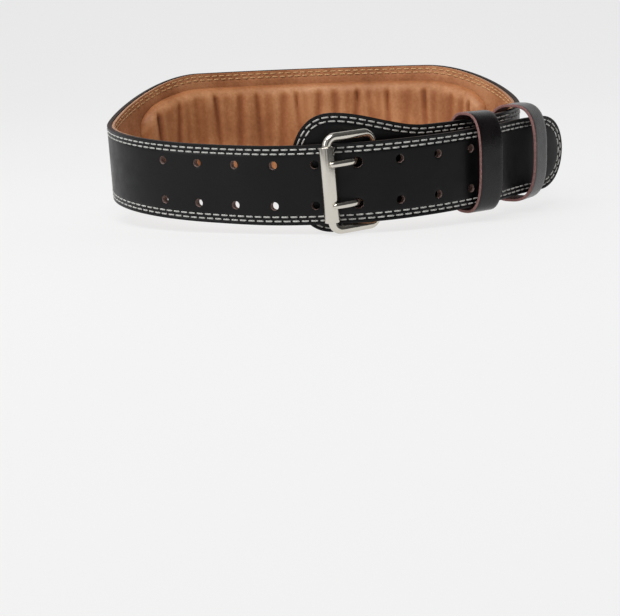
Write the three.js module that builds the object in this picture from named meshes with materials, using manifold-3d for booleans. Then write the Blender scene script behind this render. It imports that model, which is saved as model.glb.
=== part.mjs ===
// A padded leather lifting belt, fastened into a loop and standing on the lower edge of its wide back.
// Millimetres, +Z up. The wide back lies towards +Y, the buckle towards -Y. The origin is on the surface
// that the belt stands on, under the middle of the loop.
//
// Everything follows one plan curve: an ellipse that the belt runs round once from the buckle end, after
// which the free end, the tongue, stands off from it to pass over the buckle end and through the keepers.
import * as THREE from 'three';
import { mergeVertices } from 'three/addons/utils/BufferGeometryUtils.js';
import Module from 'manifold-3d';

const wasm = await Module();
wasm.setup();

// Driving sizes
const gap = 0.3; // between pieces that lie on each other
const loop = { halfWidth: 149.6, halfDepth: 112 }; // of the seam between the two leathers
const leather = { outer: 3.2, lining: 2, liningInset: 0.5 };
const back = { height: 102, length: 190 }; // the full-height stretch at the small of the back
const buckleSide = { height: 55.6, taper: 132 };
const tongueSide = { height: 53, taper: 120, pastLastHole: 82, round: 27 };
const head = { height: 79.4, beyondHeelBar: 55, round: 28, roundness: 2.3, taper: 66 };
const holes = { count: 10, pitch: 27.8, rowsApart: 27.2, radius: 2.8, usedFromTip: 4, stretchedRadius: 3.6 };
const buckle = {
  heelAt: 38.7, rollerAt: 8.2, sideClearance: 1.3, wireRadius: 2.9, heelRadius: 2.2, cornerRadius: 6.5,
  tiltDeg: 3.2, lift: 0.4,
};
const roller = { radius: 5.2, wall: 1.1, endClearance: 2.8, clearance: 1.2 };
const prong = { thickness: 2.4, width: 3.6, holeFromHeelBar: 12.6, eyeWall: 1.4, bevel: 0.5 };
const tab = { leather: 1.6, height: 47, length: 60, closesOver: 24, slotClearance: 0.8, slotBack: 9 };
const rivet = { fromHeelBar: 50, apart: 24, shank: 1.9, head: 4.2, headHeight: 1.1 };
const keeper = { width: 21, leather: 2.2, looseness: 9.2, roundness: 2.9, play: 0.8 };
// seat is how far each keeper's inner top stands off the strap's corner that it hangs on, and tongueShare is
// how far its direction turns from the strap's to the tongue's
const keepers = {
  inner: { at: 114, halfDepth: 14.5, seat: 0.2, tongueShare: 0.5 },
  outer: { at: 164, halfDepth: 17.5, seat: 0.6, tongueShare: 0.2 },
};
const tongue = { drop: 0.36, rise: 0.08, riseFrom: -40 }; // the drop and rise are shares of the back's height
const lean = { slope: 0.025, fullFrom: 0, noneBelow: -0.55 }; // outward per mm up; the limits are shares of depth
const pad = { length: 318, inset: 12, thickness: 8.5, rim: 11, endTaper: 0.4, creaseWidth: 3.2, creaseDepth: 0.34 };

// How far the tongue stands off from the plan curve, as a share of the stack that it crosses at the heel bar
const keeperStandoff = { inner: 0.7, outer: 0.74, tip: 3 };
// Creases across the pad: where, as a share of its half length, how deep and how wide, as shares of the sizes above
const creases = [
  { at: -0.93, depth: 1.0, width: 0.8 },
  { at: -0.78, depth: 0.4, width: 1.4 },
  { at: -0.64, depth: 0.8, width: 1.0 },
  { at: -0.53, depth: 0.5, width: 1.2 },
  { at: -0.42, depth: 0.8, width: 0.9 },
  { at: -0.33, depth: 0.6, width: 1.0 },
  { at: -0.23, depth: 0.9, width: 1.0 },
  { at: -0.13, depth: 0.5, width: 1.3 },
  { at: -0.03, depth: 0.7, width: 1.0 },
  { at: 0.07, depth: 0.8, width: 0.9 },
  { at: 0.17, depth: 0.4, width: 1.4 },
  { at: 0.29, depth: 0.7, width: 1.0 },
  { at: 0.4, depth: 0.5, width: 1.3 },
  { at: 0.52, depth: 0.8, width: 1.0 },
  { at: 0.64, depth: 0.4, width: 1.6 },
  { at: 0.77, depth: 0.7, width: 1.2 },
  { at: 0.9, depth: 1.0, width: 1.2 },
];

// Mesh fineness
const stationStep = 8;
const roundSteps = 8;
const circleSides = 12;
const holeSides = 10;

// Places that follow from the sizes
const outerFace = gap / 2 + leather.outer;
const liningFace = gap / 2 + leather.lining;
const foldRadius = buckle.heelRadius + gap + tab.leather;
const heelStandoff = outerFace + gap + buckle.lift + foldRadius;
const stack = heelStandoff + foldRadius + gap + buckle.lift + liningFace;
const overHead = outerFace + gap + liningFace;
const frameInside = tongueSide.height + 2 * buckle.sideClearance;
const rollerLength = frameInside - 2 * roller.endClearance;
const keeperInside = Math.max(buckleSide.height, tongueSide.height) + keeper.looseness;

const clamp01 = (x) => Math.min(1, Math.max(0, x));
const smooth = (x) => clamp01(x) ** 2 * (3 - 2 * clamp01(x));

// The plan curve: points at even steps of its angle, with the distance run from the front centre towards +X
const curveSteps = 1440;
const curve = [{ angle: 0, run: 0, x: 0, y: -loop.halfDepth }];
for (let i = 1; i <= curveSteps; i++) {
  const angle = (2 * Math.PI * i) / curveSteps;
  const x = loop.halfWidth * Math.sin(angle);
  const y = -loop.halfDepth * Math.cos(angle);
  const last = curve[i - 1];
  curve.push({ angle, x, y, run: last.run + Math.hypot(x - last.x, y - last.y) });
}
const lap = curve[curveSteps].run;

// A point of the plan curve, moved outwards along its normal
function onCurve(run, out = 0) {
  const wanted = ((run % lap) + lap) % lap;
  let low = 0;
  let high = curveSteps;
  while (high - low > 1) {
    const middle = (low + high) >> 1;
    if (curve[middle].run > wanted) high = middle;
    else low = middle;
  }
  const share = (wanted - curve[low].run) / (curve[high].run - curve[low].run);
  const angle = curve[low].angle + share * (curve[high].angle - curve[low].angle);
  const tangent = new THREE.Vector2(loop.halfWidth * Math.cos(angle), loop.halfDepth * Math.sin(angle)).normalize();
  const normal = new THREE.Vector2(tangent.y, -tangent.x);
  const point = new THREE.Vector2(loop.halfWidth * Math.sin(angle), -loop.halfDepth * Math.cos(angle));
  return { point: point.addScaledVector(normal, out), normal, tangent };
}

// A smooth curve through rows of {at, value}, flat before the first
function through(rows, at) {
  if (at <= rows[0].at) return rows[0].value;
  const last = rows.length - 1;
  const slope = (i) => {
    if (i <= 0) return 0;
    const ahead = Math.min(last, i + 1);
    return (rows[ahead].value - rows[i - 1].value) / (rows[ahead].at - rows[i - 1].at);
  };
  const i = Math.min(last - 1, rows.findLastIndex((row) => row.at <= at));
  const span = rows[i + 1].at - rows[i].at;
  const t = (at - rows[i].at) / span;
  if (t > 1) return rows[last].value + slope(last) * (at - rows[last].at);
  const from = rows[i].value;
  const to = rows[i + 1].value;
  const bend = slope(i) * span * (t ** 3 - 2 * t ** 2 + t) + slope(i + 1) * span * (t ** 3 - t ** 2);
  return from * (2 * t ** 3 - 3 * t ** 2 + 1) + to * (3 * t ** 2 - 2 * t ** 3) + bend;
}

// The tongue's standoff, by the distance run past the front centre on its second lap
const headEnd = buckle.heelAt - head.beyondHeelBar;
const tonguePast = holes.usedFromTip * holes.pitch + tongueSide.pastLastHole + buckle.heelAt - prong.holeFromHeelBar;
const standoffRows = [
  { at: headEnd - 58, value: 0 },
  { at: headEnd - 4, value: overHead + 0.5 },
  { at: buckle.rollerAt, value: 0.72 * stack },
  { at: buckle.heelAt, value: stack },
  { at: (buckle.heelAt + keepers.inner.at) / 2, value: 0.9 * stack },
  { at: keepers.inner.at, value: keeperStandoff.inner * stack },
  { at: keepers.outer.at, value: keeperStandoff.outer * stack },
  { at: tonguePast - 6, value: keeperStandoff.tip * stack },
];
const standoff = (run) => through(standoffRows, run - lap);

// The belt's own length coordinate, from the head's end to the tongue's tip, against the distance run
const runTable = [{ run: headEnd, length: 0 }];
for (let run = headEnd + 1, before = onCurve(headEnd).point; run < lap + tonguePast + 40; run++) {
  const { point } = onCurve(run, standoff(run));
  runTable.push({ run, length: runTable.at(-1).length + point.distanceTo(before) });
  before = point;
}
function lookUp(from, to, value) {
  const i = Math.min(runTable.length - 2, Math.max(0, runTable.findLastIndex((row) => row[from] <= value)));
  const [a, b] = [runTable[i], runTable[i + 1]];
  return a[to] + ((value - a[from]) / (b[from] - a[from])) * (b[to] - a[to]);
}
const lengthAt = (run) => lookUp('run', 'length', run);
const runAt = (length) => lookUp('length', 'run', length);

const fastenedHole = lengthAt(lap + buckle.heelAt - prong.holeFromHeelBar);
const lastHole = fastenedHole + holes.usedFromTip * holes.pitch;
const beltLength = lastHole + tongueSide.pastLastHole;
const backCentre = lengthAt(lap / 2);
const backEdgeY = onCurve(lap / 2 + back.length / 2).point.y;

// Half the belt's height at a length, from the pattern that it is cut to
function halfHeight(length) {
  const fromBack = length - backCentre;
  const side = fromBack < 0 ? buckleSide : tongueSide;
  const tapered = smooth((Math.abs(fromBack) - back.length / 2) / side.taper);
  let half = (back.height + (side.height - back.height) * tapered) / 2;
  if (length < head.round + head.taper) {
    half = (head.height + (buckleSide.height - head.height) * smooth((length - head.round) / head.taper)) / 2;
  }
  if (length < head.round) {
    const inward = 1 - length / head.round;
    half *= Math.max(0, 1 - inward ** head.roundness) ** (1 / head.roundness);
  }
  const toTip = beltLength - length;
  if (toTip < tongueSide.round) half *= Math.sqrt(Math.max(0, 1 - (1 - toTip / tongueSide.round) ** 2));
  return half;
}

// The height of the belt's middle: the back stands on its lower edge, and the buckle end is let down to
// stand on the head's lower edge, with the tongue a little below it.
function middleHeight(length) {
  const run = runAt(length);
  const { point } = onCurve(run);
  const fallen = clamp01((backEdgeY - point.y) / (backEdgeY + loop.halfDepth)) ** 1.25;
  const top = back.height / 2;
  if (length < backCentre) return top + (head.height / 2 - top) * fallen;
  const past = (run - lap - tongue.riseFrom) / (tonguePast - tongue.riseFrom);
  const low = top - tongue.drop * top;
  const onSecondLap = run > lap ? 1 : fallen;
  return top + (low - top) * onSecondLap + tongue.rise * back.height * smooth(past);
}

function leanAt(y) {
  const share = y / loop.halfDepth;
  return lean.slope * smooth((share - lean.noneBelow) / (lean.fullFrom - lean.noneBelow));
}

// A place on the belt's seam surface: its plan point, the outward normal there, middle height and lean
function beltPlace(length) {
  const run = runAt(length);
  const at = (r) => onCurve(r, standoff(r)).point;
  const point = at(run);
  const tangent = at(run + 0.5).sub(at(run - 0.5)).normalize();
  const normal = new THREE.Vector2(tangent.y, -tangent.x);
  return { point, normal, middle: middleHeight(length), lean: leanAt(point.y) };
}

// A point at an outward offset and a height above the middle
function beltPoint(place, out, up) {
  const plan = place.point.clone().addScaledVector(place.normal, out + place.lean * up);
  return new THREE.Vector3(plan.x, plan.y, place.middle + up);
}

// Meshes and booleans
function meshFrom(points, triangles) {
  const geometry = new THREE.BufferGeometry().setFromPoints(points);
  geometry.setIndex(triangles);
  return geometry;
}

// A closed skin over rings of equally many points, with a flat fan at each end, or joined end to end
function skinRings(rings, closed = false) {
  const sides = rings[0].length;
  const triangles = [];
  const steps = closed ? rings.length : rings.length - 1;
  for (let i = 0; i < steps; i++) {
    const here = i * sides;
    const next = ((i + 1) % rings.length) * sides;
    for (let j = 0; j < sides; j++) {
      const k = (j + 1) % sides;
      triangles.push(here + j, here + k, next + k, here + j, next + k, next + j);
    }
  }
  if (!closed) {
    const last = (rings.length - 1) * sides;
    for (let j = 1; j < sides - 1; j++) {
      triangles.push(0, j + 1, j, last, last + j, last + j + 1);
    }
  }
  return meshFrom(rings.flat(), triangles);
}

function solidOf(geometry) {
  const bare = new THREE.BufferGeometry().setAttribute('position', geometry.getAttribute('position'));
  bare.setIndex(geometry.index);
  const merged = mergeVertices(bare, 1e-4);
  const vertProperties = new Float32Array(merged.getAttribute('position').array);
  const triVerts = new Uint32Array(merged.index.array);
  return new wasm.Manifold(new wasm.Mesh({ numProp: 3, vertProperties, triVerts }));
}

function geometryOf(solid) {
  const mesh = solid.getMesh();
  const points = [];
  for (let i = 0; i < mesh.numVert; i++) {
    points.push(new THREE.Vector3().fromArray(mesh.vertProperties, i * mesh.numProp));
  }
  return meshFrom(points, Array.from(mesh.triVerts));
}

function cutAway(geometry, tools) {
  const cut = tools.reduce((solid, tool) => solid.subtract(solidOf(tool)), solidOf(geometry));
  return geometryOf(cut);
}

// A round tool through the belt, along its normal
function holeTool(place, up, radius) {
  const tool = new THREE.CylinderGeometry(radius, radius, 8 * leather.outer, holeSides);
  const axis = new THREE.Vector3(place.normal.x, place.normal.y, 0);
  tool.applyQuaternion(new THREE.Quaternion().setFromUnitVectors(new THREE.Vector3(0, 1, 0), axis));
  const at = beltPoint(place, (outerFace - liningFace) / 2, up);
  return tool.translate(at.x, at.y, at.z);
}

// The lengths at which both layers have a cross-section, closer together round the two ends
const stations = [];
for (let i = roundSteps; i > 0; i--) {
  stations.push(head.round * (1 - Math.sin(((i - 0.12) / roundSteps) * (Math.PI / 2))));
}
const straightLength = beltLength - head.round - tongueSide.round;
const straightSteps = Math.round(straightLength / stationStep);
for (let i = 0; i <= straightSteps; i++) stations.push(head.round + (straightLength * i) / straightSteps);
for (let i = 1; i <= roundSteps; i++) {
  const turn = ((i - 0.12) / roundSteps) * (Math.PI / 2);
  stations.push(beltLength - tongueSide.round * (1 - Math.sin(turn)));
}

// One leather layer of the whole belt, between two offsets from the seam surface
function layer(inner, outer, inset) {
  const rings = stations.map((station) => {
    const length = THREE.MathUtils.clamp(station, inset, beltLength - inset);
    const place = beltPlace(length);
    const half = Math.max(halfHeight(length) - inset, 1);
    return [
      beltPoint(place, inner, -half),
      beltPoint(place, inner, half),
      beltPoint(place, outer, half),
      beltPoint(place, outer, -half),
    ];
  });
  const punched = [];
  for (let i = 0; i < holes.count; i++) {
    const place = beltPlace(lastHole - i * holes.pitch);
    const radius = i === holes.usedFromTip ? holes.stretchedRadius : holes.radius;
    for (const side of [-1, 1]) punched.push(holeTool(place, (side * holes.rowsApart) / 2, radius));
  }
  const rivetPlace = beltPlace(lengthAt(buckle.heelAt + rivet.fromHeelBar));
  for (const side of [-1, 1]) {
    const up = buckleMiddle + (side * rivet.apart) / 2 - rivetPlace.middle;
    punched.push(holeTool(rivetPlace, up, rivet.shank + gap));
  }
  return cutAway(skinRings(rings), punched);
}

// Where the buckle sits: its heel bar lies over the head, and its roller outside the tongue
const heelPlace = onCurve(buckle.heelAt, heelStandoff);
const tongueAtRoller = onCurve(buckle.rollerAt, standoff(lap + buckle.rollerAt) + outerFace + roller.clearance + roller.radius);
const buckleReach = tongueAtRoller.point.distanceTo(heelPlace.point);
const buckleMiddle = middleHeight(lengthAt(lap + (buckle.heelAt + buckle.rollerAt) / 2));
const buckleTurn = Math.atan2(
  heelPlace.point.y - tongueAtRoller.point.y,
  heelPlace.point.x - tongueAtRoller.point.x,
);

const buckleFrame = new THREE.Matrix4().makeRotationFromEuler(
  new THREE.Euler(0, -THREE.MathUtils.degToRad(buckle.tiltDeg), buckleTurn, 'ZYX'),
).setPosition(tongueAtRoller.point.x, tongueAtRoller.point.y, buckleMiddle);

// The frame: a round wire bent to a rectangle, thinner at the heel bar. x runs from the roller to the heel bar.
function frameGeometry() {
  const halfHeightOfFrame = frameInside / 2 + buckle.wireRadius;
  const r = buckle.cornerRadius;
  const corners = [
    { x: buckleReach - r, z: halfHeightOfFrame - r, from: 0 },
    { x: r, z: halfHeightOfFrame - r, from: 90 },
    { x: r, z: r - halfHeightOfFrame, from: 180 },
    { x: buckleReach - r, z: r - halfHeightOfFrame, from: 270 },
  ];
  const cornerSteps = 4;
  const rings = [];
  for (const corner of corners) {
    for (let i = 0; i <= cornerSteps; i++) {
      const turn = THREE.MathUtils.degToRad(corner.from + (90 * i) / cornerSteps);
      const facing = new THREE.Vector3(Math.cos(turn), 0, Math.sin(turn));
      const centre = new THREE.Vector3(corner.x, 0, corner.z).addScaledVector(facing, r);
      const heelShare = smooth((centre.x - (buckleReach - r)) / r);
      const radius = buckle.wireRadius + (buckle.heelRadius - buckle.wireRadius) * heelShare;
      const ring = [];
      for (let j = 0; j < circleSides; j++) {
        const around = (2 * Math.PI * j) / circleSides;
        const spoke = facing.clone().multiplyScalar(radius * Math.cos(around));
        ring.push(centre.clone().add(spoke).add(new THREE.Vector3(0, radius * Math.sin(around), 0)));
      }
      rings.push(ring);
    }
  }
  return skinRings(rings, true);
}

function rollerGeometry() {
  const half = rollerLength / 2;
  const bore = roller.radius - roller.wall;
  const profile = [
    new THREE.Vector2(bore, -half),
    new THREE.Vector2(roller.radius, -half),
    new THREE.Vector2(roller.radius, half),
    new THREE.Vector2(bore, half),
    new THREE.Vector2(bore, -half),
  ];
  return new THREE.LatheGeometry(profile, 2 * circleSides).rotateX(Math.PI / 2);
}

// A prong, drawn from its side in the plan's plane: an eye round the heel bar, a bend up through the tongue's
// hole and a straight run whose end rests on the roller. In the buckle's own frame, -y is outwards.
function prongGeometry(path) {
  const half = prong.thickness / 2;
  const centreline = new THREE.SplineCurve(path).getSpacedPoints(15);
  const sides = [[], []];
  centreline.forEach((point, i) => {
    const before = centreline[Math.max(0, i - 1)];
    const after = centreline[Math.min(centreline.length - 1, i + 1)];
    const across = after.clone().sub(before).normalize().rotateAround(new THREE.Vector2(), Math.PI / 2);
    const taper = 1 - 0.3 * smooth((i / (centreline.length - 1) - 0.85) / 0.15);
    sides[0].push(point.clone().addScaledVector(across, half * taper));
    sides[1].push(point.clone().addScaledVector(across, -half * taper));
  });
  const flat = prong.width - 2 * prong.bevel;
  const extrude = (shape, depth) => {
    const options = {
      depth, bevelSize: 0.4, bevelThickness: prong.bevel, bevelOffset: -0.4, bevelSegments: 1, curveSegments: 6,
    };
    return new THREE.ExtrudeGeometry(shape, options).translate(0, 0, -depth / 2);
  };
  const arm = extrude(new THREE.Shape([...sides[0], ...sides[1].reverse()]), flat);
  const eye = new THREE.Shape().absarc(0, 0, buckle.heelRadius + prong.eyeWall + gap, 0, 2 * Math.PI);
  eye.holes.push(new THREE.Path().absarc(0, 0, buckle.heelRadius + gap, 0, 2 * Math.PI, true));
  return { arm, eye: extrude(eye, flat + 1) };
}

function prongSolid() {
  // Points in the buckle's plan frame, measured from the heel bar: x towards the roller, y outwards
  const holePlace = beltPlace(fastenedHole);
  const toFrame = (point) => {
    const from = point.clone().sub(heelPlace.point);
    const along = tongueAtRoller.point.clone().sub(heelPlace.point).normalize();
    const outward = new THREE.Vector2(-along.y, along.x);
    return new THREE.Vector2(from.dot(along), from.dot(outward));
  };
  const holeIn = toFrame(holePlace.point.clone().addScaledVector(holePlace.normal, -liningFace));
  const holeOut = toFrame(holePlace.point.clone().addScaledVector(holePlace.normal, outerFace));
  const rest = roller.radius + gap + prong.thickness / 2;
  const eyeRadius = buckle.heelRadius + gap + prong.eyeWall / 2;
  const path = [
    new THREE.Vector2(eyeRadius, 0),
    new THREE.Vector2(eyeRadius + 2.2, -0.6),
    new THREE.Vector2(holeIn.x - 1.9, holeIn.y - 0.9),
    new THREE.Vector2((holeIn.x + holeOut.x) / 2, (holeIn.y + holeOut.y) / 2),
    new THREE.Vector2(holeOut.x + 1.9, holeOut.y + 0.6),
    new THREE.Vector2(buckleReach - 2.5, rest + 0.1),
    new THREE.Vector2(buckleReach + 1.6, rest + 0.1),
  ];
  const { arm, eye } = prongGeometry(path);
  const bore = new THREE.CylinderGeometry(
    buckle.heelRadius + gap, buckle.heelRadius + gap, 3 * prong.width, circleSides,
  ).rotateX(Math.PI / 2);
  return geometryOf(solidOf(arm).add(solidOf(eye)).subtract(solidOf(bore)));
}

// The leather tab that holds the heel bar: a strip folded round it, its two leaves riveted to the belt
function tabEdge(rise) {
  const lowLeaf = outerFace + gap + tab.leather / 2;
  const highLeaf = lowLeaf + tab.leather + gap;
  const foldMiddle = foldRadius - tab.leather / 2;
  const shift = -rise * Math.tan(THREE.MathUtils.degToRad(buckle.tiltDeg));
  const bar = heelPlace.point.clone();
  bar.add(new THREE.Vector2(shift, 0).rotateAround(new THREE.Vector2(), buckleTurn));
  const { point: under, normal, tangent } = onCurve(buckle.heelAt + shift);
  const barOut = bar.clone().sub(under).dot(normal);
  const leaf = (share, fromOut, toOut) => {
    const settle = smooth((tab.length * share) / tab.closesOver);
    const out = fromOut * (1 - settle) + toOut * settle;
    return onCurve(buckle.heelAt + shift + tab.length * share, out).point;
  };
  const leafSteps = 10;
  const foldSteps = 8;
  const path = [];
  for (let i = leafSteps; i >= 0; i--) path.push(leaf(i / leafSteps, barOut - foldMiddle, lowLeaf));
  for (let i = 1; i < foldSteps; i++) {
    const turn = (Math.PI * i) / foldSteps;
    const point = bar.clone().addScaledVector(normal, -foldMiddle * Math.cos(turn));
    path.push(point.addScaledVector(tangent, -foldMiddle * Math.sin(turn)));
  }
  for (let i = 0; i <= leafSteps; i++) path.push(leaf(i / leafSteps, barOut + foldMiddle, highLeaf));
  return path.map((point, i) => {
    const before = path[Math.max(0, i - 1)];
    const after = path[Math.min(path.length - 1, i + 1)];
    const across = after.clone().sub(before).normalize().rotateAround(new THREE.Vector2(), Math.PI / 2);
    return [-1, 1].map((side) => {
      const plan = point.clone().addScaledVector(across, side * (tab.leather / 2));
      return new THREE.Vector3(plan.x, plan.y, buckleMiddle + rise);
    });
  });
}

function tabGeometry() {
  const lower = tabEdge(-tab.height / 2);
  const upper = tabEdge(tab.height / 2);
  const rings = lower.map(([left, right], i) => [left, right, upper[i][1], upper[i][0]]);
  const slots = [-1, 1].map((side) => {
    const width = prong.width + 1 + 2 * tab.slotClearance;
    const slot = new THREE.BoxGeometry(foldRadius + tab.slotBack, 6 * foldRadius, width);
    slot.translate(buckleReach + (tab.slotBack - foldRadius) / 2 - 2 * gap, 0, (side * holes.rowsApart) / 2);
    return slot.applyMatrix4(buckleFrame);
  });
  const rivetHoles = [-1, 1].map((side) => {
    const place = beltPlace(lengthAt(buckle.heelAt + rivet.fromHeelBar));
    return holeTool(place, buckleMiddle + (side * rivet.apart) / 2 - place.middle, rivet.shank + gap);
  });
  return cutAway(skinRings(rings), [...slots, ...rivetHoles]);
}

function rivetGeometry() {
  const inside = -liningFace - gap;
  const outside = outerFace + 3 * gap + 2 * tab.leather;
  const crown = 0.6 * rivet.head;
  const profile = [
    new THREE.Vector2(0, inside - rivet.headHeight),
    new THREE.Vector2(crown, inside - rivet.headHeight),
    new THREE.Vector2(rivet.head, inside),
    new THREE.Vector2(rivet.shank, inside),
    new THREE.Vector2(rivet.shank, outside),
    new THREE.Vector2(rivet.head, outside),
    new THREE.Vector2(crown, outside + rivet.headHeight),
    new THREE.Vector2(0, outside + rivet.headHeight),
  ];
  return new THREE.LatheGeometry(profile, circleSides);
}

// A keeper: a closed leather band that hangs on the buckle side and holds the tongue to it
function keeperGeometry({ at, halfDepth, seat, tongueShare }) {
  const strap = onCurve(at);
  const over = onCurve(lap + at, standoff(lap + at));
  const ahead = onCurve(lap + at + 1, standoff(lap + at + 1));
  const tongueWay = ahead.point.clone().sub(over.point).normalize();
  const way = strap.tangent.clone().lerp(tongueWay, tongueShare).normalize();
  const outward = new THREE.Vector2(way.y, -way.x);
  const innermost = strap.point.clone().addScaledVector(strap.normal, -liningFace);
  const outermost = over.point.clone().addScaledVector(over.normal, outerFace);
  const packed = innermost.distanceTo(outermost) / 2 + keeper.play;
  const centre = innermost.add(outermost).multiplyScalar(0.5);
  const tops = [at, lap + at].map((run) => middleHeight(lengthAt(run)) + halfHeight(lengthAt(run)));
  const corner = (1 - (packed / halfDepth) ** keeper.roundness) ** (1 / keeper.roundness);
  const centreHeight = Math.max(...tops) + seat - (corner * keeperInside) / 2;
  const wall = (depth, height) => {
    const points = [];
    const steps = 4 * circleSides;
    for (let i = 0; i < steps; i++) {
      const turn = (2 * Math.PI * (i + 0.5)) / steps;
      const power = 2 / keeper.roundness;
      const x = depth * Math.sign(Math.cos(turn)) * Math.abs(Math.cos(turn)) ** power;
      const z = height * Math.sign(Math.sin(turn)) * Math.abs(Math.sin(turn)) ** power;
      points.push(new THREE.Vector2(x, z));
    }
    return points;
  };
  const shape = new THREE.Shape(wall(halfDepth + keeper.leather, keeperInside / 2 + keeper.leather));
  shape.holes.push(new THREE.Path(wall(halfDepth, keeperInside / 2)));
  const band = new THREE.ExtrudeGeometry(shape, { depth: keeper.width, bevelEnabled: false });
  band.translate(0, 0, -keeper.width / 2);
  const basis = new THREE.Matrix4().makeBasis(
    new THREE.Vector3(outward.x, outward.y, 0),
    new THREE.Vector3(0, 0, 1),
    new THREE.Vector3(-way.x, -way.y, 0),
  );
  return band.applyMatrix4(basis.setPosition(centre.x, centre.y, centreHeight));
}

// How far the pad stands off the lining: a pillow with a rounded rim, gathered into creases across it
function padDepth(along, up, halfLength, half) {
  const fromEnd = halfLength - Math.abs(along);
  const fromEdge = half - Math.abs(up);
  const swell = (distance) => Math.sqrt(Math.max(0, 1 - (1 - clamp01(distance / pad.rim)) ** 2));
  let depth = swell(fromEnd) * swell(fromEdge);
  for (const crease of creases) {
    const away = (along / halfLength - crease.at) * halfLength;
    const share = away / (pad.creaseWidth * crease.width);
    depth *= 1 - pad.creaseDepth * crease.depth * Math.exp(-share * share);
  }
  return 0.6 + pad.thickness * depth;
}

function padGeometry() {
  const halfLength = pad.length / 2;
  const columns = 76;
  const rows = 8;
  const rings = [];
  for (let i = 0; i <= columns; i++) {
    const along = -halfLength + (pad.length * i) / columns;
    const place = beltPlace(backCentre + along);
    const cornerCut = Math.sqrt(1 - clamp01(1 - (halfLength - Math.abs(along)) / (2 * pad.rim)) ** 2);
    const half = (halfHeight(backCentre + along) - pad.inset) * (1 - pad.endTaper * (1 - cornerCut));
    const ring = [];
    for (let j = 0; j <= rows; j++) {
      const up = half * Math.sin(((j / rows) * 2 - 1) * (Math.PI / 2) * 0.999);
      ring.push(beltPoint(place, -liningFace - gap - padDepth(along, up, halfLength, half), up));
    }
    ring.push(beltPoint(place, -liningFace - gap, half), beltPoint(place, -liningFace - gap, -half));
    rings.push(ring);
  }
  return skinRings(rings);
}

// Materials
const blackLeather = new THREE.MeshStandardMaterial({ color: 0x1c1c1e, roughness: 0.45 });
const tanLeather = new THREE.MeshStandardMaterial({ color: 0xb5703f, roughness: 0.6 });
const softTanLeather = new THREE.MeshStandardMaterial({ color: 0xa9683c, roughness: 0.5 });
const keeperLeather = new THREE.MeshStandardMaterial({ color: 0x2a2829, roughness: 0.38 });
const nickel = new THREE.MeshStandardMaterial({ color: 0xc9c7be, roughness: 0.22, metalness: 1 });

function named(name, geometry, material) {
  const mesh = new THREE.Mesh(geometry, material);
  mesh.name = name;
  return mesh;
}

const belt = new THREE.Group();
belt.add(
  named('outer_leather', layer(gap / 2, outerFace, 0), blackLeather),
  named('lining', layer(-liningFace, -gap / 2, leather.liningInset), tanLeather),
  named('lumbar_pad', padGeometry(), softTanLeather),
  named('buckle_tab', tabGeometry(), keeperLeather),
);

// The buckle's own group: its x runs from the roller to the heel bar
const buckleGroup = new THREE.Group();
buckleGroup.applyMatrix4(buckleFrame);
buckleGroup.add(named('buckle_frame', frameGeometry(), nickel), named('buckle_roller', rollerGeometry(), nickel));
['lower', 'upper'].forEach((which, i) => {
  const piece = named(`prong_${which}`, prongSolid(), nickel);
  piece.position.set(buckleReach, 0, (i - 0.5) * holes.rowsApart);
  piece.rotation.z = Math.PI;
  buckleGroup.add(piece);
});
belt.add(buckleGroup);

['lower', 'upper'].forEach((which, i) => {
  const place = beltPlace(lengthAt(buckle.heelAt + rivet.fromHeelBar));
  const piece = named(`rivet_${which}`, rivetGeometry(), nickel);
  const axis = new THREE.Vector3(place.normal.x, place.normal.y, 0);
  piece.quaternion.setFromUnitVectors(new THREE.Vector3(0, 1, 0), axis);
  piece.position.set(place.point.x, place.point.y, buckleMiddle + (i - 0.5) * rivet.apart);
  belt.add(piece);
});

belt.add(
  named('keeper_inner', keeperGeometry(keepers.inner), keeperLeather),
  named('keeper_outer', keeperGeometry(keepers.outer), keeperLeather),
);

const box = new THREE.Box3().setFromObject(belt);
const centre = box.getCenter(new THREE.Vector3());
belt.position.set(-centre.x, -centre.y, -box.min.z);

export default belt;
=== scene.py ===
# %% [markdown]
# A padded leather lifting belt, fastened into a loop and standing on its lower edge.
# The CAD frame gives the true places. Each cell below makes one piece of the belt over it, from the
# leathers and the pad to the buckle's wire and the thread, and gives it the finish of the real one.

import math

import bpy
import numpy as np
from mathutils import Euler, Matrix, Vector


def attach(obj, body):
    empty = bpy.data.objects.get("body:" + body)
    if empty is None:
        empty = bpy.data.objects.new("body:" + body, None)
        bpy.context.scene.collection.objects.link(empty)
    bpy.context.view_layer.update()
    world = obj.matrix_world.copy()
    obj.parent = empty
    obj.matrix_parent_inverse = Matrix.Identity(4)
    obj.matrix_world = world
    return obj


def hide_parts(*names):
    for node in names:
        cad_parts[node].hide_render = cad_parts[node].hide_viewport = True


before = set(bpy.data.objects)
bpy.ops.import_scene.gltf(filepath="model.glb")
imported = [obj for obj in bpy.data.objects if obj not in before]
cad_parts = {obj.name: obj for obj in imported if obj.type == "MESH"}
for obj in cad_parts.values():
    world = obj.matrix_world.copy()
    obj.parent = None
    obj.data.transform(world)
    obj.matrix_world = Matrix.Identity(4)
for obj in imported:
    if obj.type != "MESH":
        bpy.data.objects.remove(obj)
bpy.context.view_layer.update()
print("CAD nodes:", sorted(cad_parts))

# %% [markdown]
# A maker cuts a belt flat and bends it afterwards, and so does this script. Every leather piece is
# modelled flat, with x along the belt, y up from its middle line and z outwards, all in metres.
# The sizes below are the real ones, in millimetres, and match those of the CAD model; mm turns
# them into metres.

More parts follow.
